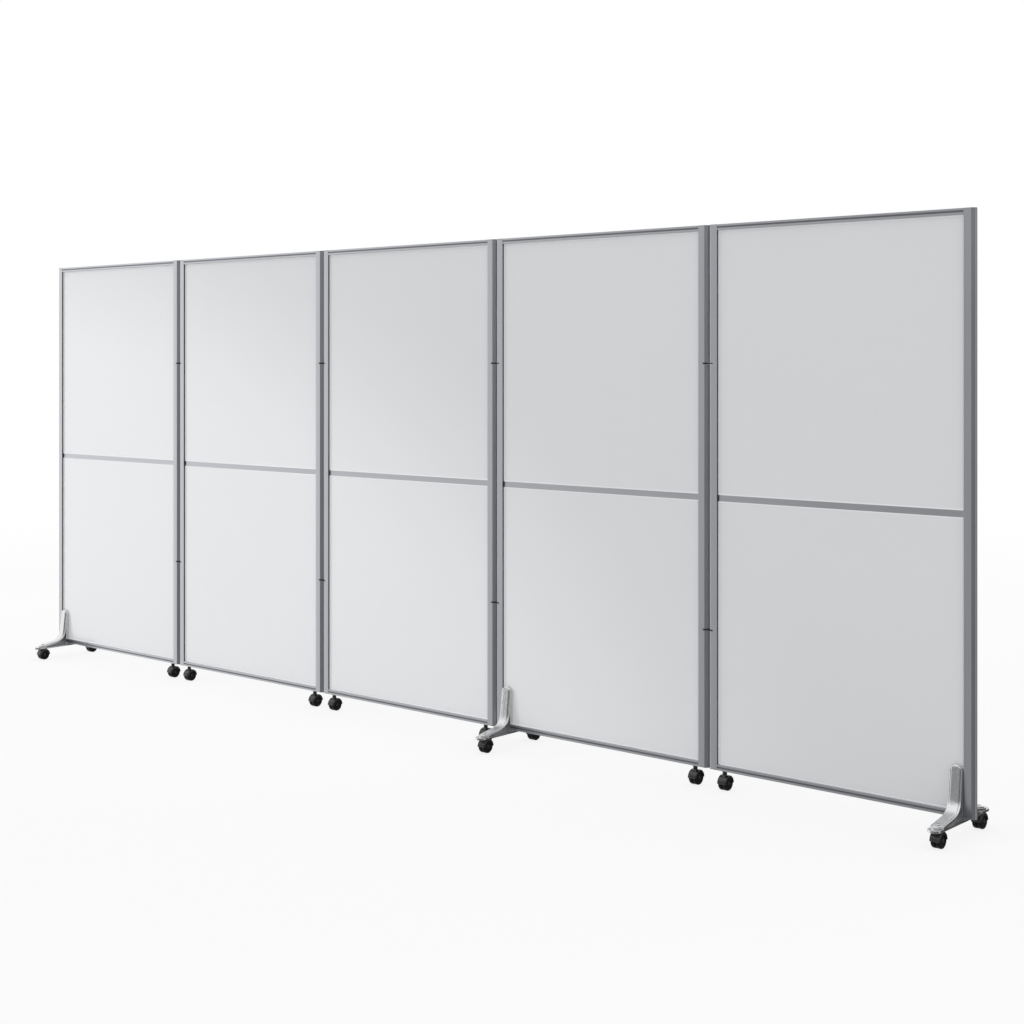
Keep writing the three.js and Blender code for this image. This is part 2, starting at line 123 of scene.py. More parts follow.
class Finish:
    """A material being mixed, or the world. add() makes one node and gives back its output."""

    def __init__(self, tree):
        self.tree = tree
        tree.nodes.clear()

    def add(self, kind, settings=None, inputs=None, output=0):
        node = self.tree.nodes.new(kind)
        for key, value in (settings or {}).items():
            if key == "stops":
                ramp = node.color_ramp.elements
                while len(ramp) < len(value):
                    ramp.new(0.5)
                for stop, (place, shade) in zip(ramp, value):
                    stop.position = place
                    stop.color = (shade, shade, shade, 1.0)
            else:
                setattr(node, key, value)
        for key, value in (inputs or {}).items():
            if isinstance(value, Wire):
                self.tree.links.new(value.socket, node.inputs[key])
            else:
                node.inputs[key].default_value = value
        return Wire(self, node.outputs[output]) if node.outputs else None

    def place(self, scale):
        """The point on the piece, in metres, times a scale along each axis."""
        where = self.add("ShaderNodeTexCoord", output=3)
        return self.add("ShaderNodeMapping", None, {0: where, 3: scale})

    def noise(self, scale, detail=2.0, rough=0.5):
        """Cloudy noise from 0 to 1; scale is the number of clouds in a metre along each axis."""
        return self.add("ShaderNodeTexNoise", None,
                        {"Vector": self.place(scale), "Scale": 1.0, "Detail": detail, "Roughness": rough})

    def ramp(self, value, *stops):
        """A grey that follows a value through the stops given, each a value and its grey."""
        return self.add("ShaderNodeValToRGB", {"stops": stops}, {0: value})

    def blend(self, share, first, second):
        """One colour turning into another as share goes from 0 to 1."""
        return self.add("ShaderNodeMix", {"data_type": "RGBA"}, {0: share, 6: first, 7: second}, 2)

    def bump(self, height, strength, depth):
        return self.add("ShaderNodeBump", None,
                        {"Height": height, "Strength": strength, "Distance": depth})

    def close(self, **inputs):
        """The Principled shader and the material's output; words in the names are joined by _."""
        named = {key.replace("_", " ").title().replace("Ior", "IOR"): v for key, v in inputs.items()}
        shader = self.add("ShaderNodeBsdfPrincipled", None, named)
        self.add("ShaderNodeOutputMaterial", None, {0: shader})


def new_finish(name):
    material = bpy.data.materials.new(name)
    material.use_nodes = True
    return material, Finish(material.node_tree)


print("shader helpers ready")

# %% [markdown]
# ## Satin aluminium
# The extrusions are drawn through a die and anodised: soft silver grey, with faint die lines that
# run along the bar and a slow drift in how matt it is. The lines are noise squeezed across the bar
# and stretched along it. Stiles run upright and rails lie flat, so there is one finish for each.


# %% Satin aluminium for stiles and rails
def satin_aluminium(name, drawn_along):
    material, mix = new_finish(name)
    lines = mix.noise(tuple(2.0 if axis == drawn_along else 900.0 for axis in range(3)), 3.0)
    drift = mix.noise((3.0, 3.0, 3.0), 2.0)
    dark, light = (0.540, 0.552, 0.582, 1.0), (0.596, 0.608, 0.640, 1.0)
    mix.close(
        base_color=mix.blend(lines * 0.6 + drift * 0.4, dark, light),
        metallic=1.0,
        roughness=0.25 + lines * 0.10 + drift * 0.06,
        normal=mix.bump(lines, 0.12, 0.0002),
    )
    return material


UPRIGHT_METAL = satin_aluminium("stile_aluminium", 2)
LEVEL_METAL = satin_aluminium("rail_aluminium", 0)
print("finishes:", UPRIGHT_METAL.name, LEVEL_METAL.name)

# %% [markdown]
# ## The writing surface
# White enamel under a hard gloss. It is never quite even: wiped marker leaves a thin haze that
# changes the gloss more than the colour, and the coating has a fine orange peel.


# %% White enamel
def writing_enamel():
    material, mix = new_finish("board_enamel")
    haze = mix.noise((2.2, 2.2, 3.4), 4.0, 0.55)
    wiped = mix.noise((5.0, 5.0, 26.0), 3.0, 0.6)
    peel = mix.noise((420.0, 420.0, 420.0), 2.0)
    mix.close(
        base_color=mix.blend(haze, (0.775, 0.785, 0.795, 1.0), (0.795, 0.802, 0.812, 1.0)),
        roughness=0.13 + haze * 0.10 + wiped * 0.06,
        ior=1.45,
        coat_weight=0.45,
        coat_roughness=0.06,
        normal=mix.bump(peel, 0.04, 0.0002),
    )
    return material


ENAMEL = writing_enamel()
print("finish:", ENAMEL.name)


# %% White edging strip
def edging_vinyl():
    material, mix = new_finish("edging_vinyl")
    grain = mix.noise((700.0, 700.0, 700.0), 2.0)
    drift = mix.noise((6.0, 6.0, 6.0), 2.0)
    mix.close(
        base_color=mix.blend(drift, (0.86, 0.865, 0.875, 1.0), (0.90, 0.905, 0.91, 1.0)),
        roughness=0.38 + grain * 0.12,
        normal=mix.bump(grain, 0.1, 0.0001),
    )
    return material


EDGING = edging_vinyl()
print("finish:", EDGING.name)

# %% [markdown]
# ## Polished casting
# The feet are die castings, ground and buffed. Buffing leaves a bright surface that still waves
# a little, with short wheel marks and a few pores, so highlights break up into sparkles.


# %% Polished cast aluminium
def polished_casting():
    material, mix = new_finish("foot_polish")
    wave = mix.noise((95.0, 95.0, 70.0), 2.0, 0.55)
    marks = mix.noise((900.0, 240.0, 240.0), 3.0, 0.6)
    pores = mix.ramp(mix.noise((1300.0, 1300.0, 1300.0), 1.0), (0.0, 1.0), (0.24, 1.0), (0.3, 0.0))
    height = wave + marks * 0.08 - pores * 0.05
    mix.close(
        base_color=mix.blend(wave, (0.62, 0.625, 0.635, 1.0), (0.74, 0.74, 0.75, 1.0)),
        metallic=1.0,
        roughness=0.08 + wave * 0.10 + marks * 0.08,
        normal=mix.bump(height, 0.6, 0.0014),
    )
    return material


CASTING = polished_casting()
print("finish:", CASTING.name)


# %% The same casting where no wheel reaches, darkened as painted shade
def shaded_rough_casting():
    material, mix = new_finish("foot_as_cast")
    # Rough where the buffing wheel does not reach; the darker grey is painted shade for the web's hollows and
    # the block under the rail.
    grain = mix.noise((620.0, 620.0, 620.0), 3.0, 0.6)
    cloud = mix.noise((60.0, 60.0, 60.0), 2.0)
    mix.close(
        base_color=mix.blend(cloud, (0.46, 0.462, 0.47, 1.0), (0.57, 0.572, 0.58, 1.0)),
        metallic=1.0,
        roughness=0.42 + grain * 0.2,
        normal=mix.bump(grain, 0.3, 0.0004),
    )
    return material


SHADED_ROUGH_CASTING = shaded_rough_casting()
print("finish:", SHADED_ROUGH_CASTING.name)

# %% [markdown]
# ## Black pieces and small steel
# The hood is moulded glossy, the wheels are matt and pick up dust at the tread, and the hinge
# links are painted steel. All three are near black, so their roughness tells them apart.


# %% Black mouldings, painted links, grey caps and bright steel
def moulding(name, dark, light, rough, spread, grain_scale, grain_height, metallic=0.0, ior=1.5):
    """Colour goes from dark to light with cloud and grain, roughness from rough to rough + spread."""
    material, mix = new_finish(name)
    cloud = mix.noise((45.0, 45.0, 45.0), 3.0)
    grain = mix.noise((grain_scale,) * 3, 2.0)
    mix.close(
        base_color=mix.blend(cloud * 0.7 + grain * 0.3, (*dark, 1.0), (*light, 1.0)),
        metallic=metallic,
        ior=ior,
        roughness=rough + cloud * spread,
        normal=mix.bump(grain, 0.25, grain_height),
    )
    return material


HOOD_BLACK = moulding("hood_nylon", (0.004,) * 3, (0.007,) * 3, 0.12, 0.10, 900.0, 0.00012, ior=1.65)
TREAD_BLACK = moulding("wheel_nylon", (0.004,) * 3, (0.008, 0.0078, 0.0075), 0.34, 0.20, 1100.0, 0.0002,
                       ior=1.3)
LINK_BLACK = moulding("link_paint", (0.016,) * 3, (0.028, 0.028, 0.030), 0.38, 0.14, 800.0, 0.00012)
CAP_GREY = moulding("cap_grey", (0.17, 0.172, 0.18), (0.20, 0.202, 0.21), 0.45, 0.12, 900.0, 0.00015)
# The black strips on the stiles' inner walls are painted shade for the dark reveal beside each board.
REVEAL_SHADE_BLACK = moulding("reveal_painted_shade", (0.016,) * 3, (0.028, 0.028, 0.030), 0.50, 0.14, 900.0, 0.0001)
# The groove strip's dark grey is painted shade for the depth of the rails' grooves.
GROOVE_SHADE = moulding("groove_painted_shade", (0.20, 0.205, 0.215), (0.26, 0.265, 0.275), 0.30, 0.14, 900.0,
                       0.0001, 1.0)
BRIGHT_STEEL = moulding("bright_steel", (0.52, 0.52, 0.53), (0.62, 0.62, 0.63), 0.24, 0.14, 700.0,
                        0.00008, 1.0)
small_finishes = (HOOD_BLACK, TREAD_BLACK, LINK_BLACK, CAP_GREY, REVEAL_SHADE_BLACK, GROOVE_SHADE, BRIGHT_STEEL)
print("finishes:", *(finish.name for finish in small_finishes))

# %% [markdown]
# ## Surfaces from grids
# Nearly every piece here is one idea: a closed outline, repeated in rings. The rings may run along
# a straight bar, up a casting or round a wheel. A grid of ring times outline gives the points, and
# the same index sum gives all the faces at once. Sharp edges are marked afterwards by angle.


# %% Rings into closed shells
def shell(grid, loop=False):
    """Points and faces of a skin over a grid of rings: corner (i, j) joins (i, j+1), (i+1, j+1) and
    (i+1, j), and j runs round the ring. The two end rings get a lid each, unless the rings loop."""
    rings, count = grid.shape[:2]
    i, j = np.meshgrid(np.arange(rings if loop else rings - 1), np.arange(count), indexing="ij")
    after, across = (i + 1) % rings, (j + 1) % count
    quads = np.stack([i * count + j, i * count + across, after * count + across, after * count + j], -1)
    faces = quads.reshape(-1, 4).tolist()
    if not loop:
        faces += [list(range(count)), list(range((rings - 1) * count, rings * count))]
    work = bmesh.new()
    mesh = bpy.data.meshes.new("shell")
    mesh.from_pydata(grid.reshape(-1, 3).tolist(), [], faces)
    work.from_mesh(mesh)
    bmesh.ops.remove_doubles(work, verts=work.verts, dist=1e-6)
    bmesh.ops.recalc_face_normals(work, faces=work.faces)
    work.to_mesh(mesh)
    work.free()
    points = np.empty(len(mesh.vertices) * 3)
    mesh.vertices.foreach_get("co", points)
    made = points.reshape(-1, 3), [list(p.vertices) for p in mesh.polygons]
    bpy.data.meshes.remove(mesh)
    return made


def build(name, shells, finishes, body, stands_for=(), crease=32.0):
    """One piece from one or more shells, each with its own finish, riding on a CAD body."""
    finishes = finishes if isinstance(finishes, list) else [finishes] * len(shells)
    points, faces, paint = [], [], []
    palette = list(dict.fromkeys(finishes))
    for (corners, sides), finish in zip(shells, finishes):
        start = sum(len(p) for p in points)
        points.append(corners)
        faces += [[start + v for v in side] for side in sides]
        paint += [palette.index(finish)] * len(sides)
    mesh = bpy.data.meshes.new(name)
    mesh.from_pydata(np.concatenate(points).tolist(), [], faces)
    for finish in palette:
        mesh.materials.append(finish)
    mesh.polygons.foreach_set("material_index", paint)
    mesh.shade_smooth()
    mesh.set_sharp_from_angle(angle=np.radians(crease))
    piece = bpy.data.objects.new(name, mesh)
    bpy.context.scene.collection.objects.link(piece)
    flats = piece.modifiers.new("flats", "WEIGHTED_NORMAL")
    flats.keep_sharp, flats.weight = True, 80
    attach(piece, body)
    if stands_for:
        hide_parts(*([stands_for] if isinstance(stands_for, str) else stands_for))


def box_of(node):
    """A CAD node's lowest and highest corners as arrays, in metres."""
    low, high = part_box(node)
    return np.array(low), np.array(high)


print("surface helpers ready")

# %% [markdown]
# Real edges are never razor sharp, and a thin highlight along an edge is what makes metal look
# solid. `eased` turns every corner of an outline into a short curve before it becomes a piece.


# %% Outlines with eased corners
def eased(corners, radius, steps=3):
    """A closed outline whose corners are curves: each leaves its side a radius before the corner
    and joins the next side a radius after it, as (1-t)^2 A + 2t(1-t) corner + t^2 B."""
    corner = np.asarray(corners, float)
    radius = np.broadcast_to(np.asarray(radius, float), len(corner))[:, None]
    back, ahead = np.roll(corner, 1, 0) - corner, np.roll(corner, -1, 0) - corner
    back_length, ahead_length = (np.linalg.norm(v, axis=1, keepdims=True) for v in (back, ahead))
    start = corner + back * np.minimum(radius / back_length, 0.49)
    end = corner + ahead * np.minimum(radius / ahead_length, 0.49)
    t = np.linspace(0.0, 1.0, steps + 1)[None, :, None]
    curve = (1 - t) ** 2 * start[:, None] + 2 * t * (1 - t) * corner[:, None] + t**2 * end[:, None]
    return curve.reshape(-1, 2)


def arc(centre, radius, first, last, count):
    """Points on a circle about centre, from one angle to another in degrees."""
    angle = np.radians(np.linspace(first, last, count))
    return np.stack([centre[0] + radius * np.cos(angle), centre[1] + radius * np.sin(angle)], 1)


def mirrored(half):
    """A half outline and its mirror image across the first coordinate, as one closed outline."""
    half = np.asarray(half, float)
    return np.concatenate([half, (half * [-1.0, 1.0])[::-1]])


def along(axis, places, outline):
    """Rings of one outline at several places along an axis; the outline fills the other two axes."""
    grid = np.empty((len(places), len(outline), 3))
    others = [k for k in range(3) if k != axis]
    grid[:, :, axis] = np.asarray(places)[:, None]
    grid[:, :, others[0]], grid[:, :, others[1]] = outline[:, 0], outline[:, 1]
    return grid


print("outline helpers ready")

# %% [markdown]
# ## Stiles
# A stile is a half-hollow extrusion: flat faces front and back, a small step, and a round nose on
# the hinge side. At two heights the nose is milled away for a link. One grid does both: the ring
# keeps its point count, and at a notch the nose points move back onto the pocket's arc.

# %% Sizes of the frame profiles
NOSE_RADIUS = 13.2 * MM
FACE_REACH = 4.2 * MM  # flat faces end this far past the pivot
FRAME_HALF = 14.0 * MM  # half the depth of a frame
BOARD_HALF = 6.0 * MM
BOARD_SEAT = 5.0 * MM
POCKET_RADIUS = 13.4 * MM
POCKET_START = 5.0 * MM
NOTCH_HALF = 2.8 * MM
CAP_HEIGHT = 1.4 * MM
RAIL_HEIGHT = 19.0 * MM
CLEARANCE = 0.3 * MM  # between pieces that slide into or stand on one another
LINK_END_DISTANCE = 449.5 * MM  # from a stile's end to the middle of a link

first_low, first_high = box_of("panel_1_left_stile")
STILE_LOW, STILE_HIGH = first_low[2], first_high[2]
STILE_WIDTH = first_high[0] - first_low[0]
STILE_INNER = STILE_WIDTH - NOSE_RADIUS
LINK_HEIGHTS = [STILE_LOW + LINK_END_DISTANCE, STILE_HIGH - LINK_END_DISTANCE]
print(f"stile {STILE_WIDTH / MM:.1f} mm wide, {(STILE_HIGH - STILE_LOW) / MM:.0f} mm tall")


# %% The two rings of a stile
def stile_ring(notched):
    """Outline about the pivot: the inner half with the board's slot, a narrow shadow line, then the
    nose (circle of the nose radius) or, at a notch, the pocket (circle of the pocket radius)."""
    slot = BOARD_HALF + CLEARANCE
    seat = STILE_INNER - BOARD_SEAT
    ease = 0.5 * MM
    inner = np.array([[POCKET_START, FRAME_HALF], [STILE_INNER - ease, FRAME_HALF],
                      [STILE_INNER - 0.15 * MM, FRAME_HALF - 0.15 * MM], [STILE_INNER, FRAME_HALF - ease],
                      [STILE_INNER, slot], [seat, slot]])
    inner = np.concatenate([inner, (inner * [1.0, -1.0])[::-1]])
    if notched:
        reach = np.degrees(np.arccos(POCKET_START / POCKET_RADIUS))
        middle = arc((0, 0), POCKET_RADIUS, -reach, reach, 33)
        lead = np.linspace([POCKET_START, -FRAME_HALF], middle[0], 8)[1:-1]
    else:
        turn = np.degrees(np.arccos(FACE_REACH / NOSE_RADIUS))
        middle = arc((0, 0), NOSE_RADIUS, 180 + turn, 180 - turn, 33)
        lead = np.array([[1.6, 0.0], [1.25, 0.08], [1.1, 0.4], [1.0, 2.3], [0.2, 2.3], [0.0, 1.6]]) * MM
        lead = lead - [FACE_REACH, FRAME_HALF]
    trail = (lead * [1.0, -1.0])[::-1]
    return np.concatenate([inner, lead, middle, trail])


def stile_grid(pivot, side, hinged):
    """Rings from bottom to top; each notch is a plain ring, two pocket rings and a plain ring."""
    plain, pocket = stile_ring(False), stile_ring(True)
    heights, outlines = [STILE_LOW + CAP_HEIGHT], [plain]
    for middle in LINK_HEIGHTS if hinged else []:
        heights += [middle - NOTCH_HALF, middle - NOTCH_HALF, middle + NOTCH_HALF, middle + NOTCH_HALF]
        outlines += [plain, pocket, pocket, plain]
    heights.append(STILE_HIGH - CAP_HEIGHT)
    outlines.append(plain)
    flat = np.stack(outlines)
    grid = np.empty((*flat.shape[:2], 3))
    grid[..., 0] = pivot + side * flat[..., 0]
    grid[..., 1] = flat[..., 1]
    grid[..., 2] = np.array(heights)[:, None]
    return grid


def cap_grid(pivot, side, low, high, face_up):
    """A lid with the stile's outer outline, drawn in by an eased edge towards its outer face."""
    turn = np.degrees(np.arccos(FACE_REACH / NOSE_RADIUS))
    face = [[STILE_INNER, FRAME_HALF], [STILE_INNER, -FRAME_HALF], [-FACE_REACH, -FRAME_HALF]]
    nose = arc((0, 0), NOSE_RADIUS, 180 + turn, 180 - turn, 21)
    ring = np.concatenate([face, nose, [[-FACE_REACH, FRAME_HALF]]])
    centre = ring.mean(0)
    inset = np.array([0.2, 0.2, 0.5, 1.0]) * MM
    rise = np.array([0.0, 0.55, 0.9, 1.0])
    if not face_up:
        inset, rise = inset[::-1], 1 - rise[::-1]
    shrink = 1 - inset / FRAME_HALF
    flat = centre + (ring - centre)[None] * shrink[:, None, None]
    grid = np.empty((len(rise), len(ring), 3))
    grid[..., 0], grid[..., 1] = pivot + side * flat[..., 0], flat[..., 1]
    grid[..., 2] = (low + (high - low) * rise)[:, None]
    return grid


for number in PANELS:
    for word, side in (("left", 1), ("right", -1)):
        node = f"panel_{number}_{word}_stile"
        low, high = box_of(node)
        pivot = low[0] + NOSE_RADIUS if side > 0 else high[0] - NOSE_RADIUS
        hinged = not (number == 1 and side > 0 or number == 5 and side < 0)
        body = f"panel_{number}"
        build(f"{node}_bar", [shell(stile_grid(pivot, side, hinged))], UPRIGHT_METAL, body, node)
        caps = [shell(cap_grid(pivot, side, STILE_HIGH - CAP_HEIGHT, STILE_HIGH, True)),
                shell(cap_grid(pivot, side, STILE_LOW, STILE_LOW + CAP_HEIGHT, False))]
        build(f"{node}_caps", caps, CAP_GREY, body)
print("stiles: 10 bars with caps")

# %% [markdown]
# ## Rails
# The top and bottom rails are one extrusion: a slot for the board and a shadow groove along the
# front and the back. It is an outline carried along X. Seen from outside, the groove reads as a
# dark line between two bright lips, so its depth matters more than its exact shape. A dark grey
# strip in each groove is painted shade that deepens that line.


# %% Rail outline and rails
GROOVE_HEIGHT = 5.4 * MM
GROOVE_DEPTH = 3.0 * MM


def rail_outline():
    """Half section in Y and height from the outer edge, mirrored across Y: lip, groove, lip, slot."""
    lip = (RAIL_HEIGHT - GROOVE_HEIGHT) / 2
    floor = FRAME_HALF - GROOVE_DEPTH
    slot = BOARD_HALF + CLEARANCE
    half = [[FRAME_HALF, 0.0], [FRAME_HALF, lip], [floor, lip], [floor, RAIL_HEIGHT - lip],
            [FRAME_HALF, RAIL_HEIGHT - lip], [FRAME_HALF, RAIL_HEIGHT], [slot, RAIL_HEIGHT],
            [slot, RAIL_HEIGHT - BOARD_SEAT]]
    return eased(mirrored(half), 0.45 * MM, 2)


def strip_outline(face):
    """A dark grey strip of painted shade in a groove: a low hump, as wide as the groove and 1 mm thick."""
    half, floor, middle = GROOVE_HEIGHT / 2 - 0.05 * MM, FRAME_HALF - GROOVE_DEPTH, RAIL_HEIGHT / 2
    hump = [[floor + 0.1 * MM, middle - half], [floor + 0.7 * MM, middle - half],
            [floor + 1.0 * MM, middle], [floor + 0.7 * MM, middle + half], [floor + 0.1 * MM, middle + half]]
    return np.array(hump) * [face, 1.0]


for number in PANELS:
    for word in ("top", "bottom"):
        node = f"panel_{number}_{word}_rail"
        low, high = box_of(node)
        flip, height = ([1.0, -1.0], high[2]) if word == "top" else ([1.0, 1.0], low[2])
        # The two strips are painted shade laid in the front and back grooves.
        outlines = [rail_outline(), strip_outline(-1), strip_outline(1)]
        bars = [shell(along(0, [low[0], high[0]], line * flip + [0.0, height])) for line in outlines]
        build(f"{node}_bar", bars, [LEVEL_METAL, GROOVE_SHADE, GROOVE_SHADE], f"panel_{number}", node)
print("rails: 10 bars with their groove strips")

# %% [markdown]
# ## Boards, mid rail and edging
# Two boards stand in each frame, one above the other, with a slim H-section between them. The
# boards are pressed sheets, so they are not perfectly flat: a wave of about a tenth of a
# millimetre bends a reflection without showing as a shape. A white strip closes the joint between
# board and metal all round, and its slope catches the light along the right-hand stiles.

# %% A board as a thin closed sheet
MID_RAIL_HALF = 10.0 * MM
MID_RAIL_DROP = 3.0 * MM
MID_RAIL_STAND = 1.3 * MM
BOARD_GAP_HALF = 1.4 * MM  # from the middle of the mid rail to either board
EDGE_ROLL = 0.9 * MM
BOARD_WAVE = 0.12 * MM


def board_grid(x_low, x_high, z_low, z_high, seed):
    """Rings along X, each up the front and down the back. Half thickness = the board's half, less a
    quarter circle over the rolled edge, less a slow wave that dies out towards all four sides."""
    across = np.linspace(0, 1, 33)
    up = np.concatenate([[0, 0.0004, 0.0012], np.linspace(0.03, 0.97, 31), [0.9988, 0.9996, 1]])
    x, z = x_low + (x_high - x_low) * across, z_low + (z_high - z_low) * up
    from_edge = np.minimum(z - z_low, z_high - z)
    roll = EDGE_ROLL - np.sqrt(np.maximum(EDGE_ROLL**2 - np.maximum(EDGE_ROLL - from_edge, 0) ** 2, 0))
    fade = np.outer(np.sin(np.pi * across), np.sin(np.pi * up)) ** 0.5
    wave_across = np.sin(6.3 * across[:, None] * (1.2 + 0.2 * seed) + seed)
    wave = wave_across * np.cos(5.1 * up[None] * 1.3 + 2.2 * seed)
    half = BOARD_HALF - roll[None] - BOARD_WAVE * fade * (1 + wave) / 2
    grid = np.empty((len(x), 2 * len(z), 3))
    grid[..., 0] = x[:, None]
    grid[..., 1] = np.concatenate([-half, half[:, ::-1]], 1)
    grid[..., 2] = np.concatenate([z, z[::-1]])
    return grid


def mid_rail_outline(middle):
    """Half section in Y and height, mirrored across Y: a face plate over both boards and a web."""
    plate = BOARD_HALF + MID_RAIL_STAND
    face = BOARD_HALF + 0.05 * MM
    half = [[face, -1.2 * MM], [face, -MID_RAIL_HALF], [plate, -MID_RAIL_HALF], [plate, MID_RAIL_HALF],
            [face, MID_RAIL_HALF], [face, 1.2 * MM]]
    return eased(mirrored(half), 0.4 * MM, 2) + [0.0, middle]


def edging_grid(x_low, x_high, z_low, z_high, face):
    """The strip's section, in distance from the frame and height off the board, set at the four
    corners of the opening: x = corner - side * distance and z = corner - side * distance."""
    points = [[0.02, -0.4], [0.02, 1.5], [1.2, 1.5], [4.3, 0.3], [4.5, -0.4]]
    section = eased(points, [0.05, 0.2, 0.5, 0.3, 0.05]) * MM
    corners = np.array([[-1, -1], [1, -1], [1, 1], [-1, 1]])
    x = np.where(corners[:, 0] < 0, x_low, x_high)
    z = np.where(corners[:, 1] < 0, z_low, z_high)
    grid = np.empty((4, len(section), 3))
    grid[..., 0] = x[:, None] - corners[:, :1] * section[:, 0]
    grid[..., 1] = face * (BOARD_HALF + section[:, 1])
    grid[..., 2] = z[:, None] - corners[:, 1:] * section[:, 0]
    return grid


def reveal_shade_grid(edge, side, bottom, top, face):
    """A thin black strip of painted shade on a stile's inner wall, from the edging to just short of the face.
    """
    thick, start = 0.35 * MM, BOARD_HALF + 1.3 * MM
    outline = np.array([[0.0, start], [thick, start], [thick, FRAME_HALF - 1.2 * MM],
                        [0.0, FRAME_HALF - 0.9 * MM]])
    return along(2, [bottom, top], outline * [side, face] + [edge, 0.0])


for number in PANELS:
    node, body = f"panel_{number}_board", f"panel_{number}"
    low, high = box_of(node)
    left, right = box_of(f"panel_{number}_left_stile")[1][0], box_of(f"panel_{number}_right_stile")[0][0]
    bottom, top = STILE_LOW + RAIL_HEIGHT, STILE_HIGH - RAIL_HEIGHT
    middle = (STILE_LOW + STILE_HIGH) / 2 - MID_RAIL_DROP
    sheets = (("upper", middle + BOARD_GAP_HALF, high[2], number + 1),
              ("lower", low[2], middle - BOARD_GAP_HALF, number))
    for word, z_low, z_high, seed in sheets:
        sheet = shell(board_grid(low[0], high[0], z_low, z_high, seed))
        build(f"{node}_{word}", [sheet], ENAMEL, body, node)
    mid_rail = shell(along(0, [left + CLEARANCE, right - CLEARANCE], mid_rail_outline(middle)))
    build(f"panel_{number}_mid_rail", [mid_rail], LEVEL_METAL, body, node)
    openings = [(middle + MID_RAIL_HALF, top), (bottom, middle - MID_RAIL_HALF)]
    strips = [shell(edging_grid(left, right, a, b, face), loop=True) for a, b in openings for face in (-1, 1)]
    build(f"panel_{number}_edging", strips, EDGING, body)
    # Black strips of painted shade on the stiles' inner walls, where the reveal beside each board is dark.
    shade_strips = [shell(reveal_shade_grid(edge, side, bottom, top, face))
             for edge, side in ((left, 1), (right, -1)) for face in (-1, 1)]
    build(f"panel_{number}_seals", shade_strips, REVEAL_SHADE_BLACK, body)
print("boards: 10 sheets, 5 mid rails, 20 edging strips, 20 seals")

# %% [markdown]
# ## Hinge links
# Each link is a flat figure of eight: two round ends about the pivots, joined by a neck narrow
# enough to let either panel fold a quarter turn. Its edges are eased by insetting the first and
# last rings. The rods run up inside the noses, from below the lower link to above the upper one.

# %% Links and rods
LINK_RADIUS = NOSE_RADIUS - 0.3 * MM
LINK_WAIST_HALF = 4.5 * MM
ROD_RADIUS = 4.0 * MM


def link_grid(centre, spacing, height):
    """Two arcs joined by a neck, in rings: inset, full, full, inset."""
    turn = np.degrees(np.arcsin(LINK_WAIST_HALF / LINK_RADIUS))
    half = spacing / 2
    right = arc((half, 0), LINK_RADIUS, turn - 180, 180 - turn, 37)
    ring = np.concatenate([right, [[0.0, LINK_WAIST_HALF]], -right, [[0.0, -LINK_WAIST_HALF]]])
    inset = np.array([0.6, 0.15, 0.0, 0.0, 0.15, 0.6]) * MM
    rise = np.array([-2.5, -2.2, -1.8, 1.8, 2.2, 2.5]) * MM
    shrink = np.stack([1 - inset / (half + LINK_RADIUS), 1 - inset / LINK_RADIUS], 1)
    flat = ring[None] * shrink[:, None]
    grid = np.empty((len(rise), len(ring), 3))
    grid[..., 0], grid[..., 1] = centre + flat[..., 0], flat[..., 1]
    grid[..., 2] = (height + rise)[:, None]
    return grid


def turned(profile, centre, axis=2, count=40):
    """A profile of (distance from the axis, place along it), turned round an axis through centre."""
    profile = np.asarray(profile, float)
    angle = np.linspace(0, 2 * np.pi, count, endpoint=False)
    others = [k for k in range(3) if k != axis]
    grid = np.empty((len(profile), count, 3))
    grid[..., axis] = centre[axis] + profile[:, 1:]
    grid[..., others[0]] = centre[others[0]] + profile[:, :1] * np.cos(angle)
    grid[..., others[1]] = centre[others[1]] + profile[:, :1] * np.sin(angle)
    return grid


for number in PANELS[:-1]:
    node = f"hinge_{number}_{number + 1}"
    low, high = box_of(node)
    centre, spacing = (low[0] + high[0]) / 2, (high[0] - low[0]) - 2 * LINK_RADIUS
    links = [shell(link_grid(centre, spacing, z)) for z in LINK_HEIGHTS]
    rod = [[0, low[2]], [ROD_RADIUS * 0.7, low[2]], [ROD_RADIUS, low[2] + 1.2 * MM],
           [ROD_RADIUS, high[2] - 1.2 * MM], [ROD_RADIUS * 0.7, high[2]], [0, high[2]]]
    rods = [shell(turned(rod, (centre + s * spacing / 2, 0, 0), count=24)) for s in (-1, 1)]
    build(node + "_links", links + rods, [LINK_BLACK] * 2 + [BRIGHT_STEEL] * 2, node, node)
print("hinges: 8 links on 8 rods")

# %% [markdown]
# ## Cast feet
# A foot stands across the frame and holds the board between two uprights. Its outer side is a
# raised crest on a wider rim, both following one line: down the upright, round a soft bend and
# out along the leg. Under the rim there is only a thin web, hollow on both sides. So the casting is
# built as it reads: plates carried along that line, a web, a wall against the board and a sole.

# %% Sizes of a foot and the line of its crest
FOOT_HALF = 20.5 * MM
CREST_HALF = 15.0 * MM
FOOT_SOLE = box_of("left_foot")[0][2]
FOOT_TOP = box_of("left_foot")[1][2]
FOOT_REACH = box_of("left_foot")[1][1]
STEM_REACH = 132.0 * MM
BEND = np.array([34.5 * MM, STILE_LOW + 20.0 * MM])
TOP_REACH = 19.5 * MM
LEG_END_HEIGHT = 17.5 * MM
BEND_RUN = 40.0 * MM
WALL = 5.5 * MM
RIB_HALF = 6.0 * MM  # half the thickness of the web under the rim
WALL_STEP = 136.0 * MM  # up to this height the wall's outer face is upright
SCREW_DROPS = (42.0 * MM, 84.0 * MM)  # from the top of an upright


